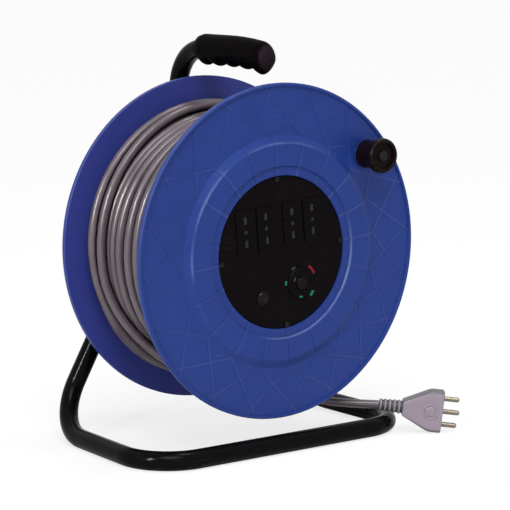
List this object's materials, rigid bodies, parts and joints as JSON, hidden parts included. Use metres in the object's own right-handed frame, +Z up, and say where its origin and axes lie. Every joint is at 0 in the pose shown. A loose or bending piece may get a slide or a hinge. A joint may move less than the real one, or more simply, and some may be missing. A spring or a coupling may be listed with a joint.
{
  "type": "extension cord reel",
  "caption": "Extension cord reel: flanged plastic drum with sockets, lamp and cut-out in its face, on an axle in a bent tube stand with a carry grip.",
  "frame": {"origin": "on the floor plane, under the middle of the box round the stand and drum, the free cord and plug left out", "axes": "+X to the right and +Y to the back as seen from the socket side, +Z up; the axle is parallel to Y"},
  "size_m": [0.3509, 0.2237, 0.3924],
  "materials": {
    "black_enamel": "gloss",
    "grip_plastic": "satin",
    "zinc_steel": "satin",
    "bush_nylon": "matte",
    "blue_plastic": "satin",
    "panel_black": "satin",
    "button_black": "satin",
    "contact_brass": "satin",
    "lamp_red": "gloss",
    "gland_rubber": "matte",
    "knob_black": "gloss",
    "cable_grey": "satin",
    "plug_grey": "satin"
  },
  "bodies": {
    "stand": {"base_tube": "black_enamel", "carry_tube": "black_enamel", "hub_plate": "black_enamel", "grip": "grip_plastic", "axle": "zinc_steel", "axle_nut": "zinc_steel", "axle_washer": "zinc_steel", "retaining_nut": "zinc_steel", "retaining_washer": "zinc_steel", "thrust_washer": "zinc_steel", "cord_run": "cable_grey", "cord_relief": "cable_grey", "plug_body": "plug_grey", "plug_pins": "contact_brass"},
    "drum": {"rear_bush": "bush_nylon", "front_bush": "bush_nylon", "rear_flange": "blue_plastic", "drum_core": "blue_plastic", "front_flange": "blue_plastic", "drum_bolts": "zinc_steel", "socket_panel": "panel_black", "panel_screws": "zinc_steel", "socket_1": "panel_black", "socket_2": "panel_black", "socket_3": "panel_black", "socket_4": "panel_black", "contact_bars": "contact_brass", "cutout_body": "panel_black", "pilot_lamp": "lamp_red", "terminal_block": "bush_nylon", "cable_tail": "cable_grey", "tail_gland": "gland_rubber", "knob_pin": "zinc_steel", "cable_core": "cable_grey", "cable_winding": "cable_grey"},
    "crank_knob": {"knob": "knob_black"},
    "reset": {"reset_button": "button_black"}
  },
  "joints": [
    {"name": "drum_spin", "type": "hinge", "parent": "stand", "child": "drum", "pos_m": [0.00189, -0.00635, 0.191], "axis": [0, 1, 0], "continuous": true},
    {"name": "knob_spin", "type": "hinge", "parent": "drum", "child": "crank_knob", "pos_m": [0.10265, -0.08635, 0.27858], "axis": [0, 1, 0], "continuous": true},
    {"name": "reset_press", "type": "slide", "parent": "drum", "child": "reset", "axis": [0, 1, 0], "range_m": [0, 0.002], "stiffness_N_per_m": 400, "springref_m": -0.0008}
  ]
}
